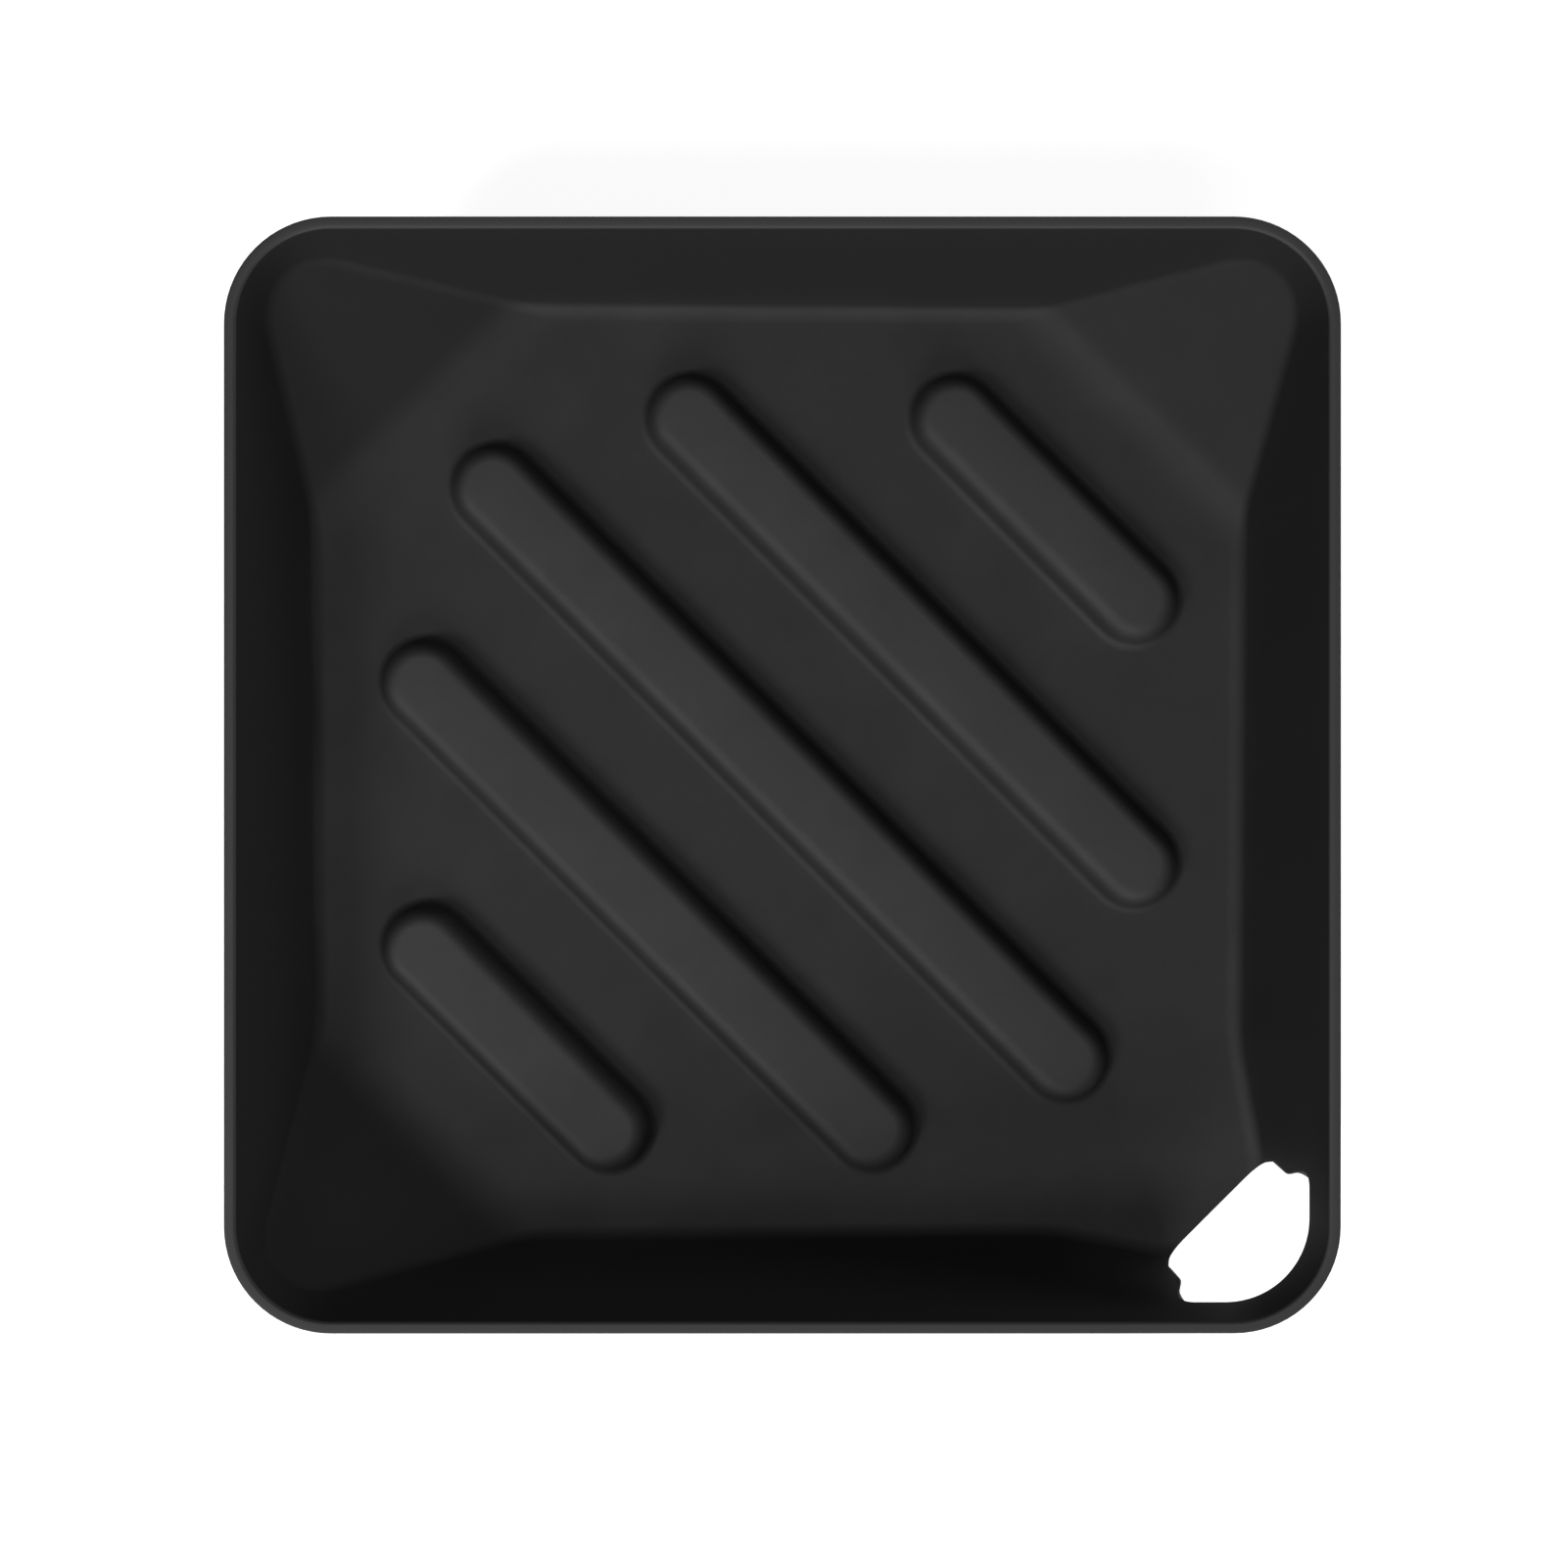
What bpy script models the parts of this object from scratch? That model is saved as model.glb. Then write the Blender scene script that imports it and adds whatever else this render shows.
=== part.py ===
"""Square self-draining tray with raised drying ribs, on four soft foot pads.

Metres, +Z up. The origin is under the middle of the tray, on the surface it stands on. The drain
corner is at +X and -Y, which is the front right one. Depths are measured down from the rim.
"""

import math

import bmesh
import bpy
from mathutils import Matrix, Vector
from mathutils.geometry import delaunay_2d_cdt

MM = 0.001

# Outline
WIDTH = 120.0 * MM
CORNER_RADIUS = 11.5 * MM
HEIGHT = 23.0 * MM

# Shell: the wall's thickness is measured level, the floor's straight down
RIM_WIDTH = 1.3 * MM
RIM_ROUNDING = 0.3 * MM
MOST_ROUNDING = 0.4
FLOOR_THICKNESS = 1.3 * MM
DEPTH = 15.5 * MM
FOOT_RADIUS = 2.1 * MM

# A lean is how far a wall comes in for each unit that it goes down
WALL_LEAN = 0.385
DRAIN_LEAN = 0.215
FLARE_LENGTH = 13.5 * MM
FLARE_SOFTNESS = 2.5 * MM

# Floor: its fall towards the drain, and the soft bends where three corners rise
FLOOR_FALL = 0.02
CREASE_TO_CORNER = 22.59 * MM
CREASE_SOFTNESS = 2.7 * MM
CORNER_TIP_DEPTH = 4.4 * MM

# Ribs along the diagonal, as many as the floor has room for
RIB_PITCH = 21.3 * MM
RIB_WIDTH = 10.2 * MM
RIB_HEIGHT = 3.1 * MM
RIB_LEAN = 0.3
RIB_TOP_RADIUS = 2.1 * MM
RIB_FOOT_RADIUS = 1.1 * MM
LEAST_HOLLOW = 0.1
RIB_TO_WALL = 7.2 * MM
RIB_TO_CREASE = 6.5 * MM
RIB_SETBACK = 0.25 * MM
RIB_SHORTEST = 20.0 * MM

# Drain: a lip across the corner, and a window under the rim. Past the lip it steps out to its full
# width. The step is cut steeply: its slant is how far it runs outwards for each unit down.
LIP_TO_CORNER = 9.65 * MM
LIP_WIDTH = 16.9 * MM
WINDOW_TOP_DEPTH = 4.9 * MM
WINDOW_WIDTH = 19.4 * MM
WINDOW_CORNER = 0.8 * MM
STEP_FROM_LIP = 1.6 * MM
STEP_DEPTH = 10.0 * MM
STEP_LENGTH = 1.3 * MM
STEP_SLANT = 0.29

# Legs under the floor, with a socket for a pad's stem
LEG_DIAMETER = 9.0 * MM
LEG_TO_CREASE = 5.5 * MM
LEG_TO_LIP = 9.5 * MM
PAD_THICKNESS = 1.8 * MM
PAD_ROUNDING = 0.5 * MM
STEM_DIAMETER = 4.0 * MM
STEM_LENGTH = 2.6 * MM
STEM_CHAMFER = 0.4 * MM
FIT_GAP = 0.3 * MM

# Fineness of the round stretches
CORNER_STEPS = 7
SIDE_STEPS = 17
FOOT_STEPS = 4
RIM_STEPS = 2
RIB_END_STEPS = 9
RIB_STEPS = 3
WIDENING_STEPS = 6
CREASE_ROWS = 5
CREASE_SPACING = 4.5 * MM
ROUND_STEPS = 24
HALVINGS = 40
SHARP_ANGLE = math.radians(35)
WELD = 0.00001

ROOT2 = math.sqrt(2)
TO_DRAIN = Vector((1, -1)) / ROOT2
ACROSS = Vector((1, 1)) / ROOT2
RAISED_CORNERS = (-TO_DRAIN, ACROSS, -ACROSS)

# From the middle, on the diagonals: to the rim's corners, the bends of the floor and the lip
CORNER_DISTANCE = WIDTH / 2 * ROOT2 - CORNER_RADIUS * (ROOT2 - 1)
CREASE_DISTANCE = CORNER_DISTANCE - CREASE_TO_CORNER
LIP_DISTANCE = CORNER_DISTANCE - LIP_TO_CORNER

INNER_HALF = WIDTH / 2 - RIM_WIDTH
RIB_HALF = RIB_WIDTH / 2
LEG_RADIUS = LEG_DIAMETER / 2
STEM_RADIUS = STEM_DIAMETER / 2


def soft_ramp(distance, softness):
    """Nothing before 0, one for one after it, with a bend that starts and ends `softness` from 0."""
    if distance <= -softness:
        return 0.0
    if distance >= softness:
        return distance
    return (distance + softness) ** 2 / (4 * softness)


def plain_floor_depth(spot):
    """Depth of the flat, falling middle of the floor below the rim."""
    return DEPTH + FLOOR_FALL * spot.dot(TO_DRAIN)


def corner_climb(outwards):
    """How steeply a raised corner rises, so that its tip comes to its depth at the wall."""
    inset = WALL_LEAN * CORNER_TIP_DEPTH
    radius = CORNER_RADIUS - RIM_WIDTH - inset
    tip_distance = (INNER_HALF - inset) * ROOT2 - radius * (ROOT2 - 1)
    rise = plain_floor_depth(tip_distance * outwards) - CORNER_TIP_DEPTH
    return rise / (tip_distance - CREASE_DISTANCE)


def floor_depth(spot):
    """Depth of the floor's upper face below the rim, ribs left out."""
    depth = plain_floor_depth(spot)
    for outwards in RAISED_CORNERS:
        beyond = spot.dot(outwards) - CREASE_DISTANCE
        depth -= corner_climb(outwards) * soft_ramp(beyond, CREASE_SOFTNESS)
    return depth


def wall_lean(point):
    """The walls stand up straighter where they run to the drain window."""
    along = min(point.x, -point.y)
    window_edge = LIP_DISTANCE * ROOT2 - (INNER_HALF - DRAIN_LEAN * DEPTH)
    start = window_edge - FLARE_LENGTH
    change = (WALL_LEAN - DRAIN_LEAN) * soft_ramp(along - start, FLARE_SOFTNESS) / FLARE_LENGTH
    return max(WALL_LEAN - change, DRAIN_LEAN)


def raised(spot, depth):
    return Vector((spot.x, spot.y, HEIGHT - depth))


def rim_stations():
    """Points round the rim's inner edge, anticlockwise, each with its inward direction."""
    radius = CORNER_RADIUS - RIM_WIDTH
    centre = INNER_HALF - radius
    stations = []
    for quarter in range(4):
        turn = Matrix.Rotation(quarter * math.pi / 2, 2)
        for step in range(CORNER_STEPS):
            angle = math.pi / 2 * step / CORNER_STEPS
            outward = Vector((math.cos(angle), math.sin(angle)))
            point = Vector((centre, centre)) + radius * outward
            stations.append((turn @ point, turn @ -outward))
        for step in range(SIDE_STEPS):
            point = Vector((centre - 2 * centre * step / SIDE_STEPS, INNER_HALF))
            stations.append((turn @ point, turn @ Vector((0, -1))))
    return stations


def foot_rounding(point, inward, lean, extra, radius):
    """The rounded foot of the wall below `point`, from the wall to the floor `extra` under the floor."""

    def floor_at(inset):
        return floor_depth(point + inset * inward) + extra

    high = 0.0
    low = 2 * DEPTH
    for _ in range(HALVINGS):
        middle = (high + low) / 2
        if middle < floor_at(lean * middle):
            high = middle
        else:
            low = middle
    corner = Vector((lean * low, low))
    up_wall = Vector((-lean, -1)).normalized()
    probe = radius / 2
    along_floor = Vector((probe, floor_at(corner.x + probe) - low)).normalized()
    half_angle = up_wall.angle(along_floor) / 2
    centre = corner + (up_wall + along_floor).normalized() * radius / math.sin(half_angle)
    tangent = radius / math.tan(half_angle)
    to_wall = corner + tangent * up_wall - centre
    to_floor = corner + tangent * along_floor - centre
    sweep = to_wall.angle(to_floor)
    points = []
    for step in range(FOOT_STEPS + 1):
        share = step / FOOT_STEPS
        from_wall = math.sin((1 - share) * sweep) / math.sin(sweep)
        from_floor = math.sin(share * sweep) / math.sin(sweep)
        section = centre + from_wall * to_wall + from_floor * to_floor
        points.append((point + section.x * inward, section.y))
    spot = points[-1][0]
    points[-1] = (spot, floor_depth(spot) + extra)
    return [raised(spot, depth) for spot, depth in points]


def wall_section(point, inward):
    """One cut through rim and wall, from the underside's floor over the rim to the inner floor."""
    lean = wall_lean(point)
    rounding = min(RIM_ROUNDING, MOST_ROUNDING * RIM_WIDTH)
    outer_point = point - RIM_WIDTH * inward
    outer_radius = FOOT_RADIUS + FLOOR_THICKNESS
    section = foot_rounding(outer_point, inward, lean, FLOOR_THICKNESS, outer_radius)[::-1]
    rim = []
    for step in range(RIM_STEPS + 1):
        angle = math.pi / 2 * step / RIM_STEPS
        rim.append((rounding * (1 - math.cos(angle)), rounding * (1 - math.sin(angle))))
    for inset, depth in rim:
        section.append(raised(outer_point + (inset + lean * (depth - rounding)) * inward, depth))
    for inset, depth in reversed(rim):
        section.append(raised(point + (lean * (depth - rounding) - inset) * inward, depth))
    section += foot_rounding(point, inward, lean, 0.0, FOOT_RADIUS)
    return section


def rib_lines():
    """Each rib's distance from the diagonal and the half length of its middle line."""
    foot_half = INNER_HALF - WALL_LEAN * DEPTH
    reach = (foot_half - RIB_TO_WALL - RIB_HALF) * ROOT2
    longest = CREASE_DISTANCE - RIB_TO_CREASE - RIB_HALF
    most = int(min(reach, longest) / RIB_PITCH)
    lines = []
    for number in range(-most, most + 1):
        offset = number * RIB_PITCH
        half_length = min(reach - abs(offset), longest)
        if 2 * (half_length + RIB_HALF) >= RIB_SHORTEST:
            lines.append((offset, half_length))
    return lines


def rib_outline(offset, half_length, radius):
    """Points of a round-ended strip round a rib's middle line, in plan."""
    points = []
    for end in (1, -1):
        for step in range(RIB_END_STEPS + 1):
            angle = math.pi * (step / RIB_END_STEPS - 0.5)
            along = end * (half_length + radius * math.cos(angle)) - RIB_SETBACK
            across = offset + end * radius * math.sin(angle)
            points.append(along * TO_DRAIN + across * ACROSS)
    return points


def rib_section(half_width, top_radius, foot_radius):
    """Half a rib's cut as (distance from the middle line, height over the floor), from foot to top."""
    up = Vector((-RIB_LEAN, 1)).normalized()
    level = Vector((1, 0))
    foot = Vector((half_width, 0))
    shoulder = Vector((half_width - RIB_LEAN * RIB_HEIGHT, RIB_HEIGHT))
    section = []
    for corner, start, finish, radius in (
        (foot, level, up, foot_radius),
        (shoulder, -up, -level, top_radius),
    ):
        half_angle = start.angle(finish) / 2
        tangent = radius / math.tan(half_angle)
        centre = corner + (start + finish).normalized() * radius / math.sin(half_angle)
        from_start = corner + tangent * start - centre
        from_finish = corner + tangent * finish - centre
        sweep = from_start.angle(from_finish)
        for step in range(RIB_STEPS + 1):
            share = step / RIB_STEPS
            first = math.sin((1 - share) * sweep) / math.sin(sweep)
            second = math.sin(share * sweep) / math.sin(sweep)
            section.append(centre + first * from_start + second * from_finish)
    return section


def bridge(mesh, first, second, closed=True):
    """Faces between two rows of the same number of vertices."""
    count = len(first)
    for index in range(count if closed else count - 1):
        after = (index + 1) % count
        mesh.faces.new((first[index], first[after], second[after], second[index]))


def inside(spot, loop):
    """Whether a spot in plan lies inside a closed loop."""
    within = False
    for first, second in zip(loop, loop[1:] + loop[:1]):
        if (first.y > spot.y) != (second.y > spot.y):
            crossing = first.x + (spot.y - first.y) * (second.x - first.x) / (second.y - first.y)
            if spot.x < crossing:
                within = not within
    return within


def crease_points(edge):
    """Points in rows along the three soft bends, kept off the floor's edge."""
    points = []
    half_count = int(WIDTH / 2 / CREASE_SPACING)
    for outwards in RAISED_CORNERS:
        sideways = outwards.orthogonal()
        for row in range(CREASE_ROWS):
            away = CREASE_DISTANCE + CREASE_SOFTNESS * (2 * row / (CREASE_ROWS - 1) - 1)
            for number in range(-half_count, half_count + 1):
                spot = away * outwards + number * CREASE_SPACING * sideways
                nearest = min((spot - other).length for other in edge)
                if inside(spot, edge) and nearest > CREASE_SPACING / 2:
                    points.append(spot)
    return points


def add_floor(mesh, edge, extra, half_width, top_radius, foot_radius):
    """The floor inside a wall's foot, with its ribs. `extra` lowers it to make the underside."""
    section = rib_section(half_width, top_radius, foot_radius)
    outlines = [edge]
    holes = []
    for offset, half_length in rib_lines():
        rows = []
        for distance, rise in section:
            outline = rib_outline(offset, half_length, distance)
            rows.append([mesh.verts.new(raised(spot, floor_depth(spot) + extra - rise)) for spot in outline])
        for lower, upper in zip(rows, rows[1:]):
            bridge(mesh, lower, upper)
        mesh.faces.new(rows[-1])
        outlines.append(rib_outline(offset, half_length, section[0].x))
        holes.append((offset, half_length))
    spots = []
    edges = []
    for outline in outlines:
        first = len(spots)
        count = len(outline)
        edges += [(first + index, first + (index + 1) % count) for index in range(count)]
        spots += outline
    spots += crease_points(edge)
    filled = delaunay_2d_cdt(spots, edges, [], 1, WELD / 10)
    corners = [mesh.verts.new(raised(spot, floor_depth(spot) + extra)) for spot in filled[0]]
    for face in filled[2]:
        middle = sum((filled[0][index] for index in face), Vector((0, 0))) / len(face)
        if not any(on_rib(middle, offset, half_length, section[0].x) for offset, half_length in holes):
            mesh.faces.new([corners[index] for index in face])


def on_rib(spot, offset, half_length, radius):
    """Whether a spot in plan lies within a rib's outline."""
    along = spot.dot(TO_DRAIN) + RIB_SETBACK
    past_end = max(abs(along) - half_length, 0)
    return math.hypot(past_end, spot.dot(ACROSS) - offset) < radius


def new_object(name, mesh, collection, material=None):
    """An object from a bmesh whose faces are turned outwards."""
    bmesh.ops.recalc_face_normals(mesh, faces=mesh.faces)
    data = bpy.data.meshes.new(name)
    mesh.to_mesh(data)
    mesh.free()
    item = bpy.data.objects.new(name, data)
    collection.objects.link(item)
    if material:
        data.materials.append(material)
        data.shade_smooth()
        data.set_sharp_from_angle(angle=SHARP_ANGLE)
    else:
        item.display_type = 'WIRE'
        item.hide_render = True
    return item


def tray_shell(collection, material):
    """The moulding before its legs, sockets and window: walls and rim, inner floor and underside."""
    mesh = bmesh.new()
    sections = [wall_section(point, inward) for point, inward in rim_stations()]
    rows = [[mesh.verts.new(point) for point in row] for row in zip(*sections)]
    for lower, upper in zip(rows, rows[1:]):
        bridge(mesh, lower, upper)
    inner_edge = [vertex.co.xy for vertex in rows[-1]]
    outer_edge = [vertex.co.xy for vertex in rows[0]]
    add_floor(mesh, inner_edge, 0.0, RIB_HALF, RIB_TOP_RADIUS, RIB_FOOT_RADIUS)
    hollow_half = RIB_HALF - FLOOR_THICKNESS
    hollow_radius = max(RIB_TOP_RADIUS - FLOOR_THICKNESS, LEAST_HOLLOW * RIB_TOP_RADIUS)
    add_floor(mesh, outer_edge, FLOOR_THICKNESS, hollow_half, hollow_radius, RIB_FOOT_RADIUS)
    bmesh.ops.remove_doubles(mesh, verts=mesh.verts, dist=WELD)
    stray = [vertex for vertex in mesh.verts if not vertex.link_faces]
    bmesh.ops.delete(mesh, geom=stray, context='VERTS')
    return new_object("tray", mesh, collection, material)


def leg_places():
    """Plan positions of the legs: under the three raised corners, and short of the drain lip."""
    past_crease = CREASE_DISTANCE + LEG_TO_CREASE + LEG_RADIUS
    return {
        "back_left": past_crease * -TO_DRAIN,
        "back_right": past_crease * ACROSS,
        "front_left": past_crease * -ACROSS,
        "front_right": (LIP_DISTANCE - LEG_TO_LIP) * TO_DRAIN,
    }


def add_leg(mesh, place, bottom):
    """A round leg whose upper end lies in the middle of the floor's thickness, parallel to it."""
    made = bmesh.ops.create_cone(
        mesh,
        cap_ends=True,
        segments=ROUND_STEPS,
        radius1=LEG_RADIUS,
        radius2=LEG_RADIUS,
        depth=HEIGHT,
        matrix=Matrix.Translation((place.x, place.y, bottom + HEIGHT / 2)),
    )
    for vertex in made["verts"]:
        if vertex.co.z > bottom + HEIGHT / 2:
            vertex.co.z = HEIGHT - floor_depth(vertex.co.xy) - FLOOR_THICKNESS / 2


def add_socket(mesh, place, bottom):
    """The blind hole in a leg's end that takes a pad's stem."""
    depth = STEM_LENGTH + FIT_GAP
    bmesh.ops.create_cone(
        mesh,
        cap_ends=True,
        segments=ROUND_STEPS,
        radius1=STEM_RADIUS + FIT_GAP,
        radius2=STEM_RADIUS + FIT_GAP,
        depth=2 * depth,
        matrix=Matrix.Translation((place.x, place.y, bottom)),
    )


def add_prism(mesh, rows):
    """A closed body through loops of points, with its first and last loops filled."""
    loops = [[mesh.verts.new(point) for point in row] for row in rows]
    for upper, lower in zip(loops, loops[1:]):
        bridge(mesh, upper, lower)
    mesh.faces.new(loops[0])
    mesh.faces.new(loops[-1])


def across_both(half, depth):
    """A loop of points at a depth, from half of it: (distance along the diagonal, distance across)."""
    other = [Vector((point.x, -point.y)) for point in reversed(half)]
    return [raised(point.x * TO_DRAIN + point.y * ACROSS, depth) for point in half + other]


def lip_cutter(collection):
    """The narrow part of the window, straight down from the lip."""
    mesh = bmesh.new()
    half = [Vector((LIP_DISTANCE, LIP_WIDTH / 2)), Vector((LIP_DISTANCE + WIDTH / 2, LIP_WIDTH / 2))]
    depths = (WINDOW_TOP_DEPTH + WINDOW_CORNER, HEIGHT + WINDOW_TOP_DEPTH)
    add_prism(mesh, [across_both(half, depth) for depth in depths])
    return new_object("lip_cutter", mesh, collection)


def window_row(depth, inset):
    """A level cut of the wide part at a depth, drawn in at its sides by an inset."""
    narrow = LIP_WIDTH / 2
    widening = WINDOW_WIDTH / 2 - inset - narrow
    middle = LIP_DISTANCE + STEP_FROM_LIP + STEP_SLANT * (depth - STEP_DEPTH)
    half = []
    for step in range(WIDENING_STEPS + 1):
        share = step / WIDENING_STEPS
        half.append(
            Vector((middle + STEP_LENGTH * (share - 0.5), narrow + widening * share**2 * (3 - 2 * share)))
        )
    half.append(Vector((middle + WIDTH / 2, narrow + widening)))
    return across_both(half, depth)


def window_cutter(collection):
    """The wide part of the window, from its rounded upper corners down."""
    mesh = bmesh.new()
    rows = []
    for step in range(RIB_STEPS + 1):
        angle = step / RIB_STEPS * math.pi / 2
        depth = WINDOW_TOP_DEPTH + WINDOW_CORNER * (1 - math.cos(angle))
        rows.append(window_row(depth, WINDOW_CORNER * (1 - math.sin(angle))))
    rows.append(window_row(HEIGHT + WINDOW_TOP_DEPTH, 0.0))
    add_prism(mesh, rows)
    return new_object("window_cutter", mesh, collection)


def leg_blanks(collection, bottom):
    mesh = bmesh.new()
    for place in leg_places().values():
        add_leg(mesh, place, bottom)
    return new_object("leg_blanks", mesh, collection)


def socket_cutters(collection, bottom):
    mesh = bmesh.new()
    for place in leg_places().values():
        add_socket(mesh, place, bottom)
    return new_object("socket_cutters", mesh, collection)


def join(item, other, operation):
    """A Boolean on `item` that stays on it as a modifier."""
    modifier = item.modifiers.new(other.name, 'BOOLEAN')
    modifier.operation = operation
    modifier.solver = 'EXACT'
    modifier.object = other


def pad_profile():
    """A pad's half profile, down its outer side: stem, shoulder, disc and its rounded lower edge."""
    stem_top = PAD_THICKNESS + STEM_LENGTH
    points = [
        (0.0, stem_top),
        (STEM_RADIUS - STEM_CHAMFER, stem_top),
        (STEM_RADIUS, stem_top - STEM_CHAMFER),
        (STEM_RADIUS, PAD_THICKNESS),
        (LEG_RADIUS, PAD_THICKNESS),
    ]
    for step in range(RIB_STEPS + 1):
        angle = math.pi / 2 * step / RIB_STEPS
        reach = LEG_RADIUS - PAD_ROUNDING * (1 - math.cos(angle))
        points.append((reach, PAD_ROUNDING * (1 - math.sin(angle))))
    points.append((0.0, 0.0))
    return points


def foot_pad(name, place, collection, material):
    """A soft pad, turned round its own upright axis, with its stem up in the leg's socket."""
    points = pad_profile()
    data = bpy.data.meshes.new(name)
    edges = [(index, index + 1) for index in range(len(points) - 1)]
    data.from_pydata([(reach, 0, height) for reach, height in points], edges, [])
    data.materials.append(material)
    item = bpy.data.objects.new(name, data)
    item.location = (place.x, place.y, 0)
    collection.objects.link(item)
    screw = item.modifiers.new("turned", 'SCREW')
    screw.steps = ROUND_STEPS
    screw.render_steps = ROUND_STEPS
    screw.use_merge_vertices = True
    screw.merge_threshold = WELD
    screw.use_smooth_shade = True
    return item


def matt_material(name, color, roughness):
    """A plain Principled material; the colour is linear."""
    material = bpy.data.materials.new(name)
    material.use_nodes = True
    shader = material.node_tree.nodes["Principled BSDF"]
    shader.inputs["Base Color"].default_value = (*color, 1)
    shader.inputs["Roughness"].default_value = roughness
    shader.inputs["Metallic"].default_value = 0.0
    return material


def new_collection(name):
    collection = bpy.data.collections.new(name)
    bpy.context.scene.collection.children.link(collection)
    return collection


def main():
    for item in list(bpy.data.objects):
        bpy.data.objects.remove(item, do_unlink=True)
    parts = new_collection("self_draining_tray")
    cutters = new_collection("cutters")
    moulded = matt_material("black_moulded_plastic", (0.021, 0.021, 0.021), 0.55)
    soft = matt_material("black_foot_rubber", (0.012, 0.012, 0.012), 0.85)

    leg_end = PAD_THICKNESS + FIT_GAP
    tray = tray_shell(parts, moulded)
    join(tray, leg_blanks(cutters, leg_end), 'UNION')
    join(tray, socket_cutters(cutters, leg_end), 'DIFFERENCE')
    join(tray, lip_cutter(cutters), 'DIFFERENCE')
    join(tray, window_cutter(cutters), 'DIFFERENCE')
    for corner, place in leg_places().items():
        foot_pad("foot_pad_" + corner, place, parts, soft)


main()
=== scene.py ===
"""Looks of a square self-draining sink tray, built round its packed CAD model as a Blender add-on.

The tray is one matt black moulding: a rim, leaning walls, a floor that falls to the drain corner,
three raised corners, drying ribs on the diagonal, a drain window under the rim, and four legs.
Soft pads stand under the legs. Metres, +Z up. The drain corner is at +X and -Y. Depths are measured
down from the rim. `along` runs on the diagonal to the drain corner, and `across` square to it.
"""

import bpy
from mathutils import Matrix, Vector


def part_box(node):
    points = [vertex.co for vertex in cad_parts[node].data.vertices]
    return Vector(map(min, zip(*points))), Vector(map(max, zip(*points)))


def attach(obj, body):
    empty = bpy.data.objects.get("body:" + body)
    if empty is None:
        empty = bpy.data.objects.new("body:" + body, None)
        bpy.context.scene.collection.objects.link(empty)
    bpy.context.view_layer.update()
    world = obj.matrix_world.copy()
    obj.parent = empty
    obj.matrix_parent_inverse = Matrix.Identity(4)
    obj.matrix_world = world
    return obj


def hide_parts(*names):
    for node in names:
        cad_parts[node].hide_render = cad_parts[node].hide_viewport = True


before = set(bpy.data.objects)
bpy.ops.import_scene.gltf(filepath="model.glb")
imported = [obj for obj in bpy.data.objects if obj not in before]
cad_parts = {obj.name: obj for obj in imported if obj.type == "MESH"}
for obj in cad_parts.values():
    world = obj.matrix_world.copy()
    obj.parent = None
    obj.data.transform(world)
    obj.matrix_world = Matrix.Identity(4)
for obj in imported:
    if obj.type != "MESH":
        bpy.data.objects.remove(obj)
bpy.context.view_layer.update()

import math
from collections import namedtuple

import bmesh
import bpy
from bpy.props import FloatProperty, FloatVectorProperty, IntProperty, PointerProperty
from mathutils import Matrix, Vector
from mathutils.geometry import delaunay_2d_cdt

bl_info = {
    "name": "Self-draining sink tray",
    "version": (1, 0, 0),
    "blender": (4, 5, 0),
    "location": "3D View > Sidebar > Sink tray",
    "description": "Builds a moulded drying tray with ribs, a drain window and soft foot pads",
    "category": "Add Mesh",
}

MM = 0.001
ROOT2 = math.sqrt(2)
TO_DRAIN = Vector((1, -1)) / ROOT2
ACROSS = Vector((1, 1)) / ROOT2
PAD_NODES = ("foot_pad_back_left", "foot_pad_back_right", "foot_pad_front_left", "foot_pad_front_right")
TRAY_LOW, TRAY_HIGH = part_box("tray")
PAD_LOW, PAD_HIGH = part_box(PAD_NODES[0])
PAD_RADIUS = (PAD_HIGH.x - PAD_LOW.x) / 2

# Fineness of the meshes
SIDE_COLUMNS = 62
CORNER_COLUMNS = 18
WALL_ROWS = 5
ARC_ROWS = 9
EDGE_ROWS = 5
ROUND_COLUMNS = 56
LATTICE = 1.4 * MM
LEAST_GAP = 0.3 * MM
LEAST_RADIUS = 0.3 * MM
WINDOW_COLUMNS = {"lip": 16, "side": 18, "corner": 7, "top": 14}
WINDOW_PROBES = 100
SOLVING_STEPS = 24
NORMAL_PROBE = 0.02 * MM
WELD = 0.00001
SHARP_ANGLE = math.radians(40)
# The kind of result of delaunay_2d_cdt that keeps only the faces inside the outlines
FILL_INSIDE = 1

# Painted light, where 1 is the rim's: on the ribs' tops, on the flat floor, and the least that shows. The
# rim and flat upper faces are painted lighter and the walls and raised corners darker, as light falls
RIB_PAINTED_LIGHT = 0.83
FLOOR_PAINTED_LIGHT = 0.66
LEAST_PAINTED_LIGHT = 0.42
# The floor's painted light fades out between these heights over its level
FLOOR_LIGHT_FADE = (0.5 * MM, 2.2 * MM)

# A noise node's values lie mostly between these
NOISE_SPAN = (0.3, 0.7)
PLASTIC_IOR = 1.5
# Roughness as moulded, and where light is painted on most
PLASTIC_ROUGHNESS = (0.75, 0.6)
# The painted light is mottled over about 9 mm, down to specks of 0.3 mm
MOTTLE_SIZE = 9 * MM
MOTTLE_DETAIL = 5.0
MOTTLE_SPECKS = 0.7
MOTTLE_UNEVENNESS = (0.95, 1.05)
# Flow in the mould varies the sheen over about 12 mm
FLOW_SIZE = 12 * MM
FLOW_ROUGHNESS = (-0.02, 0.02)
RUBBER_IOR = 1.41
RUBBER_ROUGHNESS = (0.78, 0.9)
RUBBER_MOTTLE = 3 * MM
SOFT_DETAIL = 3.0
GRAIN_DETAIL = 2.0

FootArc = namedtuple("FootArc", "wall centre floor radius")
Grain = namedtuple("Grain", "size depth strength")
Lamp = namedtuple("Lamp", "name azimuth elevation size power")

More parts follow.
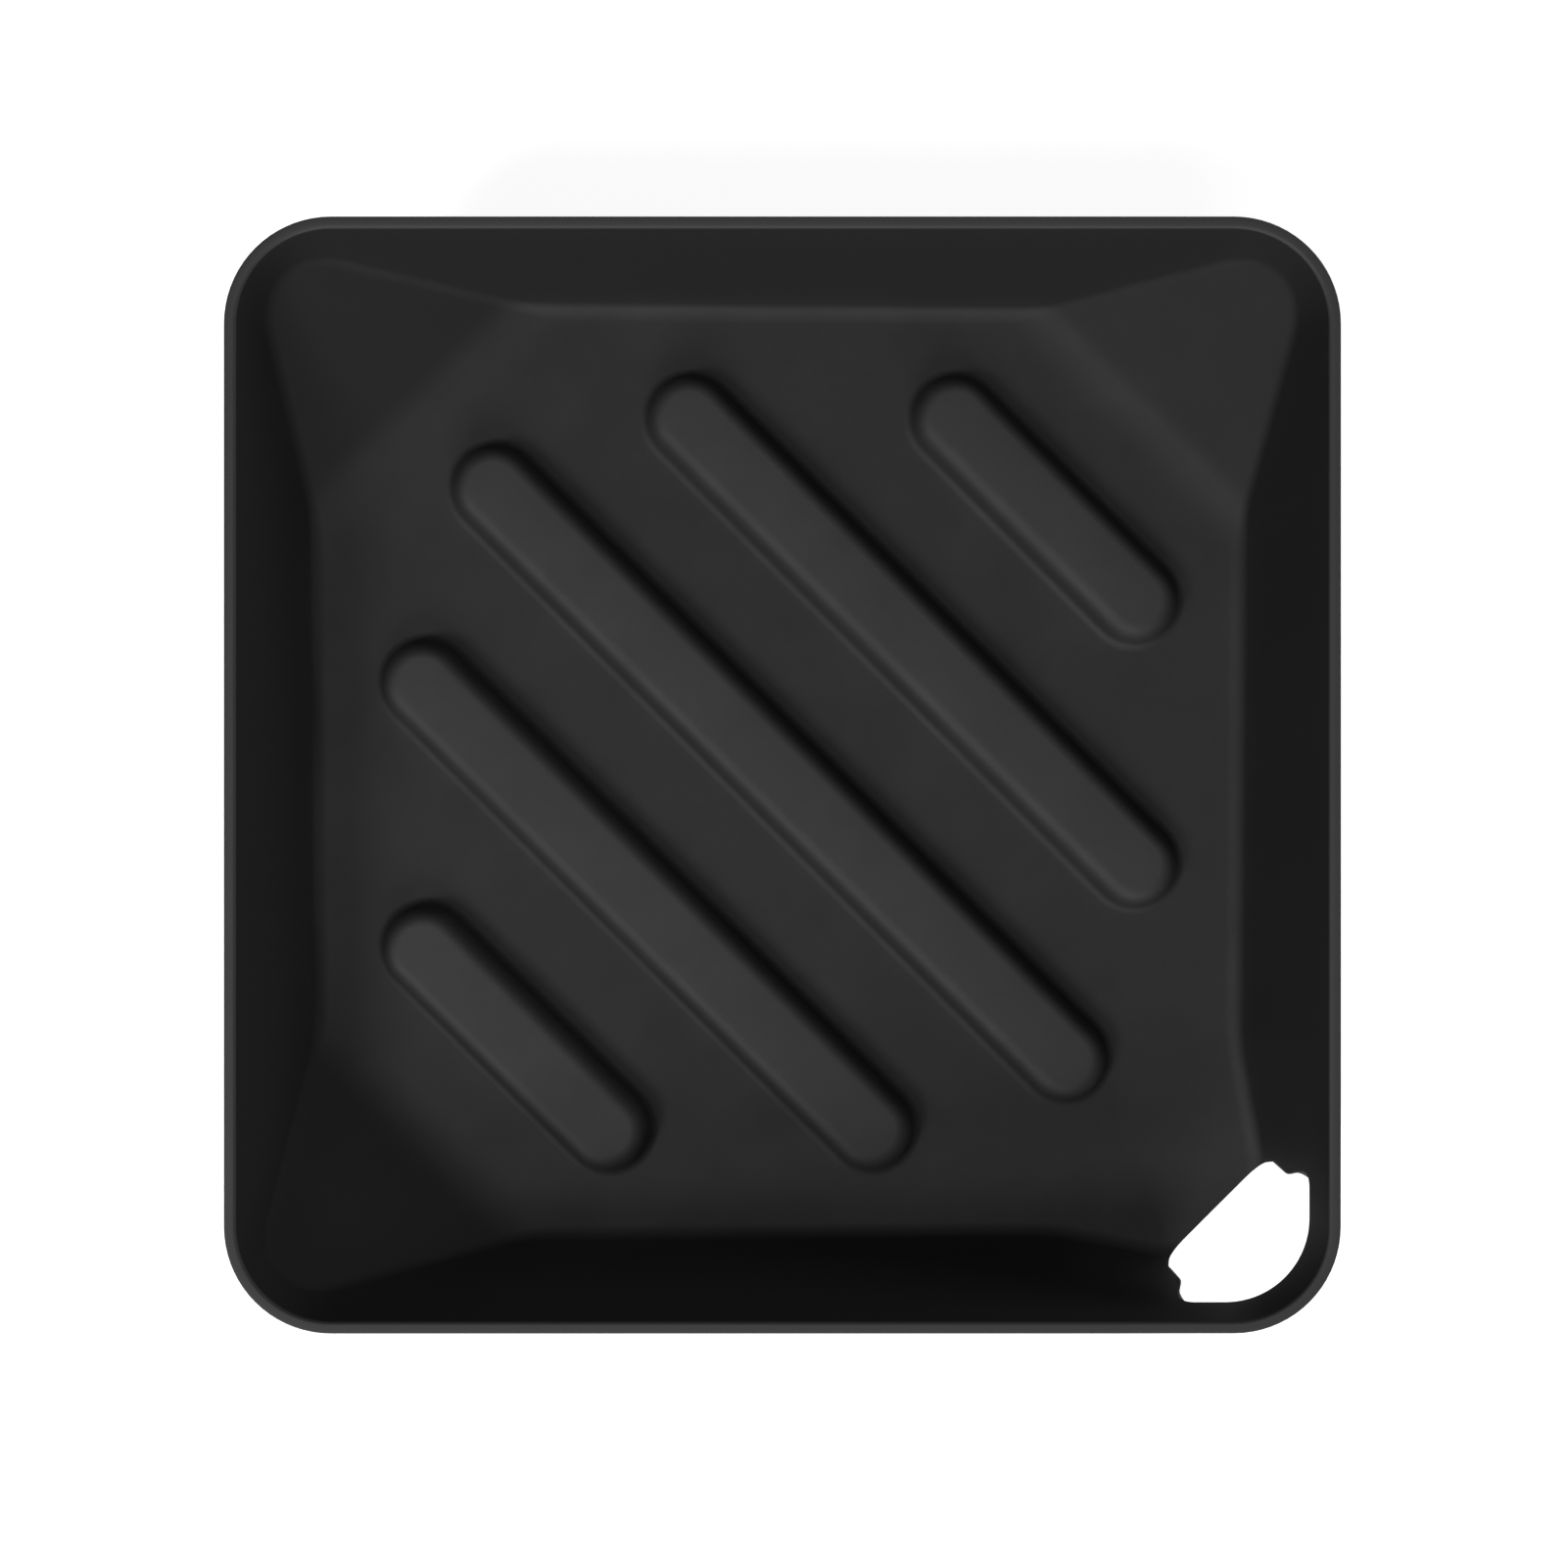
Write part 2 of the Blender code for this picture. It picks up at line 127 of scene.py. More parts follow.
# The spark-eroded grain is 0.05 mm across, drawn at 0.25 mm so that it shows
PLASTIC_GRAIN = Grain(0.25 * MM, 0.01 * MM, 0.25)
RUBBER_GRAIN = Grain(0.2 * MM, 0.02 * MM, 0.4)

# Azimuths run from the front to the right. Degrees, metres and watts
LAMPS = (
    Lamp("key_softbox", -53, 41, (0.5, 0.5), 13.8),
    Lamp("top_softbox", 245, 87, (0.5, 0.5), 8.5),
    Lamp("front_softbox", 2, 26, (1.2, 0.8), 17.4),
    Lamp("side_strip", 113, 8, (3.6, 0.32), 11.8),
)
LAMP_DISTANCE = 2.0
FLOOR_HALF = 1.0
PAPER_GREY = 0.8
PAPER_ROUGHNESS = 0.9
# Glow that makes the paper come out white without more light on the object
PAPER_GLOW = 0.74
# The world's strength for every ray but the camera's
DARK_WORLD = 0.02
CAMERA_PLACE = (0.17 * MM, -0.96 * MM, 256.8 * MM)
CLIP_START = 0.01
# Millimetres, as the camera takes them
LENS = 50
SENSOR = 36


def length(name, description, default):
    """A size in the sidebar."""
    return FloatProperty(
        name=name, description=description, default=default, min=0, unit='LENGTH', precision=5
    )


def share(name, description, default):
    """A slope or share in the sidebar."""
    return FloatProperty(name=name, description=description, default=default, min=0, precision=3)


def linear(hex_colour):
    """An sRGB hex colour as linear red, green and blue."""
    channels = [(hex_colour >> shift & 255) / 255 for shift in (16, 8, 0)]
    return [c / 12.92 if c <= 0.04045 else ((c + 0.055) / 1.055) ** 2.4 for c in channels]


def colour(name, description, hex_colour):
    """A colour in the sidebar."""
    return FloatVectorProperty(
        name=name, description=description, default=linear(hex_colour), min=0, max=1, subtype='COLOR'
    )


class TraySizes(bpy.types.PropertyGroup):
    """Sizes of the moulding."""

    width: length("Width", "Side of the square rim", TRAY_HIGH.x - TRAY_LOW.x)
    height: length("Height", "Rim over the surface that the tray stands on", TRAY_HIGH.z)
    corner_radius: length("Corner radius", "Outer radius of the rim's corners", 11.5 * MM)
    rim_width: length("Rim width", "Level thickness of rim and walls", 1.3 * MM)
    rim_rounding: length("Rim rounding", "Radius of the rim's two edges", 0.3 * MM)
    thickness: length("Floor thickness", "Thickness of floor and ribs", 1.3 * MM)
    depth: length("Depth", "Floor below the rim in the middle of the tray", 15.5 * MM)
    foot_radius: length("Foot radius", "Radius where the walls run into the floor", 2.1 * MM)
    wall_lean: share("Wall lean", "How far a wall comes in for each unit down", 0.385)
    drain_lean: share("Drain lean", "The same where the walls stand up straighter by the drain", 0.215)
    flare_length: length("Flare length", "Stretch of wall over which the lean changes", 13.5 * MM)
    flare_softness: length("Flare softness", "Softness of the start of that stretch", 2.5 * MM)
    floor_fall: share("Floor fall", "Slope of the floor towards the drain", 0.02)
    crease_to_corner: length("Crease to corner", "From a corner's bend to the rim's corner", 22.59 * MM)
    crease_softness: length("Crease softness", "Softness of the bend there", 2.7 * MM)
    tip_depth: length("Corner tip depth", "Depth of a raised corner's tip below the rim", 4.4 * MM)
    lip_to_corner: length("Lip to corner", "From the lip of the drain to the rim's corner", 9.65 * MM)
    lip_width: length("Lip width", "Width of the lip and of the window over it", 16.9 * MM)
    window_depth: length("Window depth", "Top of the drain window below the rim", 4.9 * MM)
    window_width: length("Window width", "Full width of the window, past the step", 19.4 * MM)
    window_radius: length("Window radius", "Radius of the window's upper corners", 0.8 * MM)
    step_from_lip: length("Step from lip", "From the lip out to the middle of the step", 1.6 * MM)
    step_depth: length("Step depth", "Depth at which that distance is measured", 10.0 * MM)
    step_length: length("Step length", "Stretch over which the window widens", 1.3 * MM)
    step_slant: share("Step slant", "How far the step runs outwards for each unit down", 0.29)
    edge_rounding: length("Edge rounding", "Softness of the cut edges of the window", 0.2 * MM)
    leg_radius: length("Leg radius", "Radius of the legs", PAD_RADIUS)
    leg_fillet: length("Leg fillet", "Radius where the legs run into the underside", 0.8 * MM)
    leg_rounding: length("Leg rounding", "Radius of the edge at a leg's end", 0.3 * MM)
    socket_radius: length("Socket radius", "Radius of the blind hole in a leg", 2.3 * MM)
    socket_depth: length("Socket depth", "Depth of the blind hole in a leg", 2.9 * MM)


class RibSizes(bpy.types.PropertyGroup):
    """Sizes of the drying ribs."""

    pitch: length("Pitch", "Spacing of the ribs' middle lines", 21.3 * MM)
    width: length("Width", "Width of a rib at its foot", 10.2 * MM)
    height: length("Height", "Height of a rib over the floor", 3.1 * MM)
    lean: share("Side lean", "How far a rib's side comes in for each unit up", 0.3)
    top_radius: length("Top radius", "Radius of the upper edges", 2.1 * MM)
    foot_radius: length("Foot radius", "Radius where a rib runs into the floor", 1.1 * MM)
    to_wall: length("To wall", "From a rib's end to the wall's foot", 7.2 * MM)
    to_crease: length("To crease", "From a rib's end to the bend of a raised corner", 6.5 * MM)
    setback: length("Setback", "How far the ribs sit back from the drain", 0.25 * MM)
    pairs: IntProperty(name="Pairs", description="Ribs on each side of the middle one", default=2, min=0)


class PadSizes(bpy.types.PropertyGroup):
    """Sizes of the foot pads."""

    thickness: length("Thickness", "Height of the disc under a leg", 1.8 * MM)
    rounding: length("Rounding", "Radius of the disc's lower edge", 0.5 * MM)
    bead: length("Bead", "Radius of the disc's upper edge", 0.15 * MM)
    stem_radius: length("Stem radius", "Radius of the stem in the socket", 2.0 * MM)
    chamfer: length("Chamfer", "Chamfer on the stem's end", 0.4 * MM)


class TrayFinish(bpy.types.PropertyGroup):
    """Colours of the tray."""

    plastic: colour("Plastic", "Colour of the moulding", 0x121212)
    # The lighter colour painted on as light on the rim, the ribs' tops and the flat floor
    worn_plastic: colour("Worn plastic", "Colour where rim and ribs are rubbed", 0x343434)
    rubber: colour("Rubber", "Colour of the foot pads", 0x1D1D1D)


def soft_ramp(distance, softness):
    """Nothing before 0, one for one after it, with a bend that starts and ends `softness` from 0."""
    if distance <= -softness:
        return 0.0
    if distance >= softness:
        return distance
    return (distance + softness) ** 2 / (4 * softness)


def smooth_step(part):
    """0 before 0, 1 after 1, and a soft change between them."""
    part = min(max(part, 0), 1)
    return part**2 * (3 - 2 * part)


def quarter_turn(rows):
    """Cosine and sine at even steps from 0 to 90 degrees."""
    angles = [math.pi / 2 * row / rows for row in range(rows + 1)]
    return [(math.cos(angle), math.sin(angle)) for angle in angles]


def arc_points(centre, first, last, steps):
    """Points of a round arc in a flat cut, from centre + first to centre + last."""
    sweep = first.angle(last)
    points = []
    for step in range(steps + 1):
        part = step / steps
        points.append(
            centre
            + math.sin((1 - part) * sweep) / math.sin(sweep) * first
            + math.sin(part * sweep) / math.sin(sweep) * last
        )
    return points


def even_points(points, count):
    """The same line as `points`, as count + 1 points at even spacing along it."""
    reach = [0.0]
    for first, second in zip(points, points[1:]):
        reach.append(reach[-1] + (second - first).length)
    even = []
    index = 0
    for step in range(count + 1):
        wanted = reach[-1] * step / count
        while index < len(points) - 2 and reach[index + 1] < wanted:
            index += 1
        part = (wanted - reach[index]) / (reach[index + 1] - reach[index])
        even.append(points[index].lerp(points[index + 1], min(part, 1)))
    return even


def plan_spot(along, across):
    """The spot in plan at these distances along the diagonal and across it."""
    return along * TO_DRAIN + across * ACROSS


def pad_places():
    """The middles of the foot pads in plan."""
    boxes = [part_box(node) for node in PAD_NODES]
    return [((low + high) / 2).xy for low, high in boxes]


class TrayShape:
    """The moulding's surfaces, worked out from the sizes in the sidebar."""

    def __init__(self, sizes, ribs):
        for name in TraySizes.__annotations__:
            setattr(self, name, getattr(sizes, name))
        self.inner_half = self.width / 2 - self.rim_width
        self.straight = self.width / 2 - self.corner_radius
        corner_distance = self.width / 2 * ROOT2 - self.corner_radius * (ROOT2 - 1)
        self.crease_distance = corner_distance - self.crease_to_corner
        self.lip_distance = corner_distance - self.lip_to_corner
        self.climbs = [
            (-TO_DRAIN, self.corner_climb(-TO_DRAIN)),
            (ACROSS, self.corner_climb(ACROSS)),
            (-ACROSS, self.corner_climb(-ACROSS)),
        ]
        window_edge = self.lip_distance * ROOT2 - (self.inner_half - self.drain_lean * self.depth)
        self.flare_start = window_edge - self.flare_length
        self.rib_half = ribs.width / 2
        foot_half = self.inner_half - self.wall_lean * self.depth
        self.rib_reach = (foot_half - ribs.to_wall - self.rib_half) * ROOT2
        self.rib_longest = self.crease_distance - ribs.to_crease - self.rib_half

    def plain_floor_depth(self, spot):
        """Depth of the flat floor, carried on under the raised corners."""
        return self.depth + self.floor_fall * spot.dot(TO_DRAIN)

    def corner_climb(self, outwards):
        """How steeply a raised corner rises, so that its tip comes to its depth at the wall."""
        inset = self.wall_lean * self.tip_depth
        radius = self.corner_radius - self.rim_width - inset
        tip = (self.inner_half - inset) * ROOT2 - radius * (ROOT2 - 1)
        rise = self.plain_floor_depth(tip * outwards) - self.tip_depth
        return rise / (tip - self.crease_distance)

    def floor_wear(self, point):
        """Painted light on the flat floor, which fades out up the raised corners and the walls, so that
        these come out darker.
        """
        lift = point.z - (self.height - self.plain_floor_depth(point.xy))
        first, last = FLOOR_LIGHT_FADE
        fade = smooth_step((lift - first) / (last - first))
        return FLOOR_PAINTED_LIGHT + (LEAST_PAINTED_LIGHT - FLOOR_PAINTED_LIGHT) * fade

    def floor_depth(self, spot, outer):
        """Depth of the floor's upper face, or of its underside, ribs left out."""
        depth = self.plain_floor_depth(spot)
        for outwards, climb in self.climbs:
            beyond = spot.dot(outwards) - self.crease_distance
            depth -= climb * soft_ramp(beyond, self.crease_softness)
        return depth + (self.thickness if outer else 0.0)

    def lean_at(self, point):
        """The walls stand up straighter where they run to the drain window."""
        beyond = min(point.x, -point.y) - self.flare_start
        change = (self.wall_lean - self.drain_lean) * soft_ramp(beyond, self.flare_softness)
        return max(self.wall_lean - change / self.flare_length, self.drain_lean)

    def foot_arc(self, point, inward, outer):
        """The round foot of the wall in the upright cut at `point`, as (inset, depth) in that cut."""
        radius = self.foot_radius + (self.thickness if outer else 0.0)
        lean = self.lean_at(point)
        depth = self.depth
        for _ in range(SOLVING_STEPS):
            depth = self.floor_depth(point + lean * depth * inward, outer)
        corner = Vector((lean * depth, depth))
        probe = radius / 2
        beyond = self.floor_depth(point + (corner.x + probe) * inward, outer)
        up_wall = Vector((-lean, -1)).normalized()
        along_floor = Vector((probe, beyond - depth)).normalized()
        half_angle = up_wall.angle(along_floor) / 2
        centre = corner + (up_wall + along_floor).normalized() * radius / math.sin(half_angle)
        tangent = radius / math.tan(half_angle)
        return FootArc(corner + tangent * up_wall, centre, corner + tangent * along_floor, radius)

    def cut_through(self, spot, outer):
        """The wall cut that a spot in plan lies in: its point on the rim, inward direction and inset."""
        half = self.width / 2 if outer else self.inner_half
        radius = half - self.straight
        size = Vector((abs(spot.x), abs(spot.y)))
        past = size - Vector((self.straight, self.straight))
        if min(past) > 0:
            outward = past.normalized()
            point = Vector((self.straight, self.straight)) + radius * outward
            inset = radius - past.length
        elif size.x > size.y:
            outward = Vector((1, 0))
            point = Vector((half, size.y))
            inset = half - size.x
        else:
            outward = Vector((0, 1))
            point = Vector((size.x, half))
            inset = half - size.y
        signs = Vector((math.copysign(1, spot.x), math.copysign(1, spot.y)))
        return point * signs, -outward * signs, inset

    def skin_depth(self, spot, outer):
        """Depth of the inner or outer skin at any spot in plan, ribs left out."""
        point, inward, inset = self.cut_through(spot, outer)
        arc = self.foot_arc(point, inward, outer)
        if inset < arc.wall.x:
            return self.rim_rounding + inset / arc.wall.x * (arc.wall.y - self.rim_rounding)
        if inset > arc.floor.x:
            return self.floor_depth(spot, outer)
        return arc.centre.y + math.sqrt(arc.radius**2 - (inset - arc.centre.x) ** 2)

    def skin_point(self, spot, outer):
        """The point of the inner or outer skin over a spot in plan."""
        return Vector((spot.x, spot.y, self.height - self.skin_depth(spot, outer)))

    def skin_normal(self, spot, outer):
        """The skin's upward direction at a spot in plan."""
        slopes = []
        for side in (Vector((NORMAL_PROBE, 0)), Vector((0, NORMAL_PROBE))):
            change = self.skin_depth(spot + side, outer) - self.skin_depth(spot - side, outer)
            slopes.append(change / (2 * NORMAL_PROBE))
        return Vector((*slopes, 1)).normalized()

    def rim_stations(self):
        """Points round the rim's inner edge, anticlockwise, each with its inward direction."""
        radius = self.inner_half - self.straight
        stations = []
        for quarter in range(4):
            turn = Matrix.Rotation(quarter * math.pi / 2, 2)
            for step in range(CORNER_COLUMNS):
                angle = math.pi / 2 * step / CORNER_COLUMNS
                outward = Vector((math.cos(angle), math.sin(angle)))
                point = Vector((self.straight, self.straight)) + radius * outward
                stations.append((turn @ point, turn @ -outward))
            for step in range(SIDE_COLUMNS):
                x = self.straight * (1 - 2 * step / SIDE_COLUMNS)
                stations.append((turn @ Vector((x, self.inner_half)), turn @ Vector((0, -1))))
        return stations

    def wall_column(self, point, inward, outer):
        """Points down one cut of the wall, from under the rim's rounding to the floor."""
        if outer:
            point = point - self.rim_width * inward
        arc = self.foot_arc(point, inward, outer)
        top = Vector((0, self.rim_rounding))
        cut = [top.lerp(arc.wall, row / WALL_ROWS) for row in range(WALL_ROWS)]
        cut += arc_points(arc.centre, arc.wall - arc.centre, arc.floor - arc.centre, ARC_ROWS)
        column = []
        for inset, depth in cut:
            spot = point + inset * inward
            column.append(Vector((spot.x, spot.y, self.height - depth)))
        column[-1].z = self.height - self.floor_depth(column[-1].xy, outer)
        return column

    def rim_rows(self):
        """Loops over the rim, from its outer to its inner edge."""
        quarter = quarter_turn(EDGE_ROWS)
        columns = []
        for point, inward in self.rim_stations():
            outer_point = point - self.rim_width * inward
            lean = self.lean_at(point)
            outer_half = []
            inner_half = []
            for cosine, sine in quarter:
                inset = self.rim_rounding * (1 - cosine)
                rise = self.rim_rounding * sine
                level = self.height - self.rim_rounding + rise
                outer_half.append(Vector((*(outer_point + max(inset - lean * rise, 0) * inward), level)))
                inner_half.append(Vector((*(point - (lean * rise + inset) * inward), level)))
            columns.append(outer_half + inner_half[::-1])
        return list(zip(*columns))

    def half_window(self, along, depth):
        """Half the window's width, which steps out softly past the lip on a steep slant."""
        middle = self.lip_distance + self.step_from_lip + self.step_slant * (depth - self.step_depth)
        widening = smooth_step((along - middle) / self.step_length + 0.5)
        return (self.lip_width + (self.window_width - self.lip_width) * widening) / 2

    def window_corner(self):
        """(across, depth) round the window's upper corner, from its side to its top edge."""
        radius = self.window_radius
        centre = Vector((self.window_width / 2 - radius, self.window_depth + radius))
        return arc_points(centre, Vector((radius, 0)), Vector((0, -radius)), WINDOW_COLUMNS["corner"])

    def wall_point(self, depth, outer, across=None):
        """The wall's skin at a depth and a distance across the diagonal, or else on the window's side."""
        near = self.lip_distance - self.rim_width
        far = self.width
        for _ in range(2 * SOLVING_STEPS):
            middle = (near + far) / 2
            spot = plan_spot(middle, self.half_window(middle, depth) if across is None else across)
            inside = max(abs(spot.x), abs(spot.y)) < self.width / 2
            if inside and self.cut_through(spot, outer)[2] > 0 and self.skin_depth(spot, outer) > depth:
                near = middle
            else:
                far = middle
        return Vector((*spot, self.height - depth))

    def half_window_loop(self, outer):
        """Half the window's edge on one skin, from the middle of the lip to the middle of its top."""
        near = 0.0
        far = self.window_width
        for _ in range(SOLVING_STEPS):
            middle = (near + far) / 2
            spot = plan_spot(self.lip_distance, middle)
            inside = max(abs(spot.x), abs(spot.y)) <= self.inner_half
            if inside and middle < self.half_window(self.lip_distance, self.skin_depth(spot, outer)):
                near = middle
            else:
                far = middle
        lip = [
            self.skin_point(plan_spot(self.lip_distance, near * step / WINDOW_PROBES), outer)
            for step in range(WINDOW_PROBES + 1)
        ]
        corner = self.window_corner()
        side = [lip[-1]]
        lowest = self.height - lip[-1].z
        for step in range(1, WINDOW_PROBES):
            depth = lowest + (corner[0].y - lowest) * step / WINDOW_PROBES
            side.append(self.wall_point(depth, outer))
        count = WINDOW_COLUMNS["top"]
        top = [Vector((corner[-1].x * (1 - step / count), corner[-1].y)) for step in range(1, count + 1)]
        upper = [self.wall_point(depth, outer, across) for across, depth in corner + top]
        side.append(upper[0])
        return (
            even_points(lip, WINDOW_COLUMNS["lip"])[:-1]
            + even_points(side, WINDOW_COLUMNS["side"])[:-1]
            + upper
        )

    def window_loop(self, outer):
        """The window's whole edge on one skin, with its second half mirrored on the diagonal."""
        half = self.half_window_loop(outer)
        other = [Vector((-point.y, -point.x, point.z)) for point in half[-2:0:-1]]
        return half + other

    def window_rows(self):
        """Loops through the window's edge, from the inner skin round both soft edges to the outer one."""
        loops = [self.window_loop(outer) for outer in (False, True)]
        count = len(loops[0])
        columns = [[] for _ in range(count)]
        for outer in (False, True):
            loop = loops[outer]
            for index, point in enumerate(loop):
                normal = self.skin_normal(point.xy, outer)
                ways = [
                    normal.cross(loop[(index + turn + 1) % count] - loop[index + turn]).normalized()
                    for turn in (-1, 0)
                ]
                away = (ways[0] + ways[1]) / (1 + ways[0].dot(ways[1]))
                through = (loops[not outer][index] - point).normalized()
                rows = []
                for row in range(EDGE_ROWS + 1):
                    part = row / EDGE_ROWS
                    bend = (1 - part) ** 2 * away + part**2 * through
                    rows.append(point + self.edge_rounding * bend)
                columns[index] += rows[::-1] if outer else rows
        return list(zip(*columns))


def inside_loop(spot, loop):
    """Whether a spot in plan lies inside a closed loop."""
    within = False
    for first, second in zip(loop, loop[1:] + loop[:1]):
        if (first.y > spot.y) != (second.y > spot.y):
            if spot.x < first.x + (spot.y - first.y) * (second.x - first.x) / (second.y - first.y):
                within = not within
    return within


def is_clear(spot, holes, reach):
    """Whether a spot in plan is outside every hole, none wider than `reach`, and not close to one."""
    for hole in holes:
        near = min((spot - edge).length for edge in hole)
        if near < LEAST_GAP or (near < reach and inside_loop(spot, hole)):
            return False
    return True


def rib_distances(half_width, top_radius, ribs):
    """Distances from a rib's middle line at which its rounded edges need points."""
    slant = math.hypot(1, ribs.lean)
    top_centre = half_width - ribs.lean * (ribs.height - top_radius) - slant * top_radius
    foot_centre = half_width + ribs.foot_radius * (slant - ribs.lean)
    to_slope = Vector((1, ribs.lean)) / slant
    top = arc_points(Vector((top_centre, 0)), Vector((0, top_radius)), top_radius * to_slope, ARC_ROWS)
    foot = arc_points(
        Vector((foot_centre, 0)), -ribs.foot_radius * to_slope, Vector((0, -ribs.foot_radius)), ARC_ROWS
    )
    return [point.x for point in top + foot]


def rib_lines(shape, ribs):
    """Each rib's distance from the diagonal and the half length of its middle line."""
    lines = []
    for number in range(-ribs.pairs, ribs.pairs + 1):
        offset = number * ribs.pitch
        lines.append((offset, min(shape.rib_reach - abs(offset), shape.rib_longest)))
    return lines


def rib_spots(shape, ribs, outer):
    """Spots in plan in closed rows round every rib."""
    hollow = shape.thickness if outer else 0.0
    top_radius = max(ribs.top_radius - hollow, LEAST_RADIUS)
    spots = []
    for offset, half_length in rib_lines(shape, ribs):
        columns = round(2 * half_length / LATTICE)
        for distance in rib_distances(shape.rib_half - hollow, top_radius, ribs):
            for end in (1, -1):
                for step in range(CORNER_COLUMNS + 1):
                    angle = math.pi * (step / CORNER_COLUMNS - 0.5)
                    along = end * (half_length + distance * math.cos(angle))
                    spots.append((along - ribs.setback, offset + end * distance * math.sin(angle)))
                for column in range(1, columns):
                    along = half_length * (2 * column / columns - 1)
                    spots.append((along - ribs.setback, offset + end * distance))
    return [plan_spot(*spot) for spot in spots]


def rib_clearance(spot, shape, ribs):
    """Distance from a spot in plan to the nearest rib's middle line."""
    along = abs(spot.dot(TO_DRAIN) + ribs.setback)
    across = spot.dot(ACROSS)
    return min(
        math.hypot(max(along - half_length, 0), across - offset)
        for offset, half_length in rib_lines(shape, ribs)
    )


def floor_spots(shape, ribs, outer):
    """A lattice on the diagonal that fills the floor between the walls' feet and the ribs."""
    reach = round(shape.width / LATTICE)
    hollow = shape.thickness if outer else 0.0
    rib_edge = rib_distances(shape.rib_half - hollow, ribs.top_radius, ribs)[-1] + LATTICE / 2
    spots = []
    for row in range(-reach, reach + 1):
        for column in range(-reach, reach + 1):
            spot = plan_spot(row * LATTICE, column * LATTICE)
            if max(abs(spot.x), abs(spot.y)) > shape.inner_half:
                continue
            point, inward, inset = shape.cut_through(spot, outer)
            if inset < shape.foot_arc(point, inward, outer).floor.x + LATTICE / 2:
                continue
            if rib_clearance(spot, shape, ribs) > rib_edge:
                spots.append(spot)
    return spots


def leg_rows(shape, place, leg_end):
    """Loops down a leg: its fillet under the floor, side, rounded end, and up into the socket."""
    rows = []
    ring = [
        Vector((math.cos(angle), math.sin(angle)))
        for angle in (2 * math.pi * step / ROUND_COLUMNS for step in range(ROUND_COLUMNS))
    ]
    for cosine, sine in quarter_turn(ARC_ROWS):
        radius = shape.leg_radius + shape.leg_fillet * (1 - sine)
        drop = Vector((0, 0, shape.leg_fillet * (1 - cosine)))
        rows.append([shape.skin_point(place + radius * way, True) - drop for way in ring])
    steps = []
    for cosine, sine in quarter_turn(EDGE_ROWS):
        inset = shape.leg_rounding * (1 - cosine)
        steps.append((shape.leg_radius - inset, leg_end + shape.leg_rounding * (1 - sine)))
    steps.append((shape.socket_radius, leg_end))
    steps.append((shape.socket_radius, leg_end + shape.socket_depth))
    for radius, height in steps:
        rows.append([Vector((*(place + radius * way), height)) for way in ring])
    return rows


def bridge(mesh, first, second):
    """Faces between two closed loops of vertices."""
    count = len(first)
    for index in range(count):
        after = (index + 1) % count
        mesh.faces.new((first[index], first[after], second[after], second[index]))


def add_rows(mesh, rows, close_end=False):
    """A surface through closed loops of points, with a face over the last one if it is asked for."""
    loops = [[mesh.verts.new(point) for point in row] for row in rows]
    for first, second in zip(loops, loops[1:]):
        bridge(mesh, first, second)
    if close_end:
        mesh.faces.new(loops[-1])
    return loops


def add_skin(mesh, shape, ribs, outer, window, legs, underside, worn):
    """The inner or outer skin: walls, floor and raised corners, open at the window and the legs."""
    columns = [shape.wall_column(point, inward, outer) for point, inward in shape.rim_stations()]
    loops = [[column[0] for column in columns], window] + legs
    holes = [[point.xy for point in loop] for loop in loops[1:]]
    points = [point for column in columns for point in column[1:]]
    for spot in rib_spots(shape, ribs, outer) + floor_spots(shape, ribs, outer):
        points.append(Vector((*spot, shape.height - shape.floor_depth(spot, outer))))
    points = [point for point in points if is_clear(point.xy, holes, shape.window_width)]
    edges = []
    corners = []
    for loop in loops:
        first = len(corners)
        edges += [(first + index, first + (index + 1) % len(loop)) for index in range(len(loop))]
        corners += loop
    corners += points
    filled = delaunay_2d_cdt([point.xy for point in corners], edges, [], FILL_INSIDE, WELD / 10, True)
    vertices = []
    for origins in filled[3]:
        vertex = mesh.verts.new(corners[origins[0]])
        vertex[underside] = float(outer)
        # Painted light: the flat floor lighter, fading up the walls and corners; none on the outer skin
        vertex[worn] = 0.0 if outer else shape.floor_wear(vertex.co)
        vertices.append(vertex)
    for face in filled[2]:
        spots = [filled[0][index] for index in face]
        # Along the straight sides, points in line come out as slivers as well
        if (spots[1] - spots[0]).cross(spots[2] - spots[0]) < WELD**2:
            continue
        middle = sum(spots, Vector((0, 0))) / len(spots)
        near = [hole for hole in holes if (hole[0] - middle).length < shape.window_width]
        if not any(inside_loop(middle, hole) for hole in near):
            mesh.faces.new([vertices[index] for index in face])


def tray_object(shape, ribs):
    """The whole moulding as one closed mesh, before its ribs are raised."""
    mesh = bmesh.new()
    underside = mesh.verts.layers.float.new("underside")
    worn = mesh.verts.layers.float.new("worn")
    window = shape.window_rows()
    legs = [leg_rows(shape, place, TRAY_LOW.z) for place in pad_places()]
    add_skin(mesh, shape, ribs, False, window[0], [], underside, worn)
    add_skin(mesh, shape, ribs, True, window[-1], [rows[0] for rows in legs], underside, worn)
    rim = add_rows(mesh, shape.rim_rows())
    # The rim's top gets the full painted light, its inner edge and the window's edges the floor's
    for loop in rim[1:-1]:
        for vertex in loop:
            vertex[worn] = 1.0
    for loop in rim[-1:] + add_rows(mesh, window)[:EDGE_ROWS]:
        for vertex in loop:
            vertex[worn] = shape.floor_wear(vertex.co)
    for rows in legs:
        add_rows(mesh, rows, close_end=True)
    bmesh.ops.remove_doubles(mesh, verts=mesh.verts, dist=WELD)
    stray = [vertex for vertex in mesh.verts if not vertex.link_faces]
    bmesh.ops.delete(mesh, geom=stray, context='VERTS')
    bmesh.ops.recalc_face_normals(mesh, faces=mesh.faces)
    data = bpy.data.meshes.new("moulded_tray")
    mesh.to_mesh(data)
    mesh.free()
    return bpy.data.objects.new("unribbed_tray", data)


